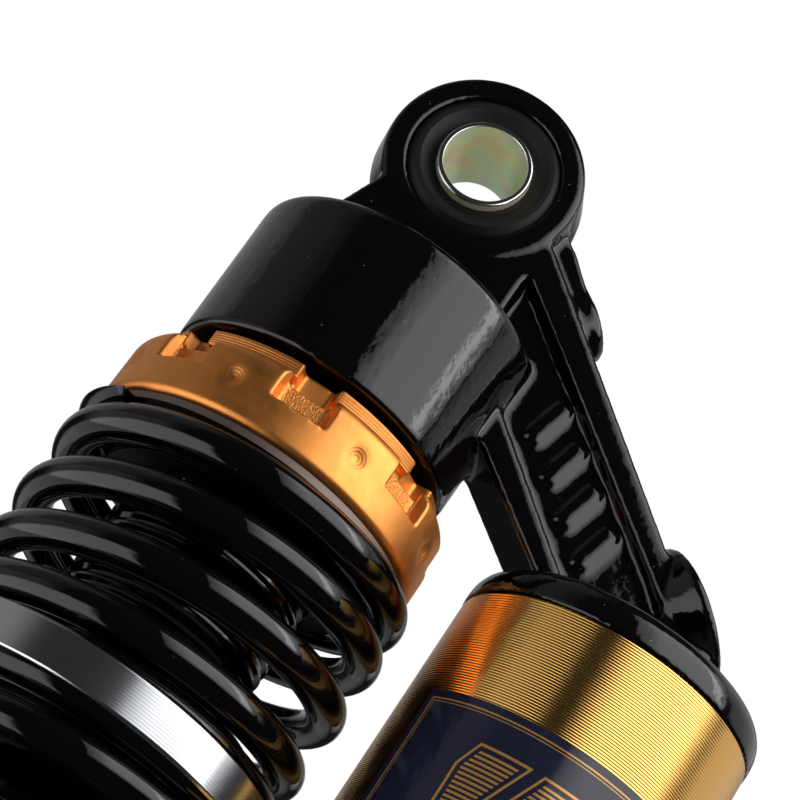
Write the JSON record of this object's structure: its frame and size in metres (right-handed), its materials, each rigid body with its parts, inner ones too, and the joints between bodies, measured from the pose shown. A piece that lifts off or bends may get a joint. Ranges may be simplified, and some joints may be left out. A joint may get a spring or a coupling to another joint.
{
  "type": "motorcycle shock absorber",
  "caption": "Rear twin-spring shock absorber with eye mounts, a side reservoir on a cast arm, a gold preload collar and a rebound knob.",
  "frame": {"origin": "centre of the upper eye's bore", "axes": "+Z along the damper from the lower eye to the upper eye, +Y along the bores of both eyes, +X towards the reservoir"},
  "size_m": [0.1198, 0.066, 0.3556],
  "materials": {
    "black_gloss": "gloss",
    "gold_anodised": "satin anodised",
    "gold_turned": "turned and anodised",
    "polished": "polished",
    "steel": "machined",
    "chrome": "polished",
    "rubber": "matte",
    "brass": "machined",
    "bronze": "sintered",
    "nylon": "matte",
    "zinc": "yellow passivated",
    "label_film": "gloss film",
    "black_plastic": "moulded",
    "bump_foam": "foamed"
  },
  "bodies": {
    "upper_body": {"head_casting": "black_gloss", "upper_bush_rubber": "rubber", "upper_bush_sleeve": "zinc", "damper_tube": "black_gloss", "tube_oring": "rubber", "seal_head": "steel", "seal_head_oring": "rubber", "shaft_guide_bush": "bronze", "shaft_oil_seal": "rubber", "shaft_wiper": "rubber", "seal_head_circlip": "steel", "reservoir_body": "gold_turned", "reservoir_oring": "rubber", "reservoir_end_cap": "black_gloss", "end_cap_oring": "rubber", "end_cap_circlip": "steel", "gas_valve_stem": "brass", "gas_valve_core": "steel", "gas_valve_cap": "black_plastic", "reservoir_label": "label_film", "passage_plugs": "steel", "plug_washers": "bronze"},
    "preload_seat": {"spring_seat_washer": "steel", "upper_spring": "black_gloss"},
    "preload_collar": {"preload_ring": "gold_anodised"},
    "separator": {"spring_separator": "polished", "separator_guide": "nylon"},
    "lower_body": {"damper_shaft": "chrome", "piston": "steel", "piston_band": "bronze", "compression_shims": "chrome", "rebound_shims": "chrome", "piston_nut": "steel", "top_out_bumper": "rubber", "bump_stop": "bump_foam", "bump_stop_cup": "steel", "shaft_lock_nut": "steel", "lower_spring_seat": "black_gloss", "seat_circlip": "steel", "lower_eye": "black_gloss", "lower_bush_rubber": "rubber", "lower_bush_sleeve": "zinc", "lower_spring": "black_gloss"},
    "knob": {"rebound_knob": "gold_anodised"},
    "rebound_valve": {"rebound_rod": "steel", "rebound_needle": "chrome", "adjuster_cross_pin": "chrome"},
    "gas_piston": {"floating_piston": "steel", "floating_piston_band": "nylon"}
  },
  "joints": [
    {"name": "stroke", "type": "slide", "parent": "upper_body", "child": "lower_body", "axis": [0, 0, 1], "range_m": [0, 0.048], "stiffness_N_per_m": 20000, "springref_m": -0.01, "deforming": ["lower_spring"]},
    {"name": "separator_slide", "type": "slide", "parent": "upper_body", "child": "separator", "axis": [0, 0, 1], "range_m": [0, 0.0073], "deforming": ["upper_spring"]},
    {"name": "gas_slide", "type": "slide", "parent": "upper_body", "child": "gas_piston", "axis": [0, 0, 1], "range_m": [-0.0037, 0]},
    {"name": "preload_slide", "type": "slide", "parent": "upper_body", "child": "preload_seat", "axis": [0, 0, -1], "range_m": [0, 0.004]},
    {"name": "preload_turn", "type": "hinge", "parent": "preload_seat", "child": "preload_collar", "pos_m": [0, 0, 0], "axis": [0, 0, -1], "range_deg": [0, 720]},
    {"name": "rebound_turn", "type": "hinge", "parent": "lower_body", "child": "knob", "pos_m": [0, 0, -0.3], "axis": [0, 0, 1], "range_deg": [0, 720]},
    {"name": "rebound_slide", "type": "slide", "parent": "lower_body", "child": "rebound_valve", "axis": [0, 0, 1], "range_m": [0, 0.0015]}
  ],
  "couplings": [
    {"joint": "separator_slide", "follows": "stroke", "ratio": 0.15},
    {"joint": "gas_slide", "follows": "stroke", "ratio": -0.07438},
    {"joint": "preload_turn", "follows": "preload_slide", "rad_per_m": 3141.6},
    {"joint": "rebound_turn", "follows": "rebound_slide", "rad_per_m": 8377.5}
  ]
}
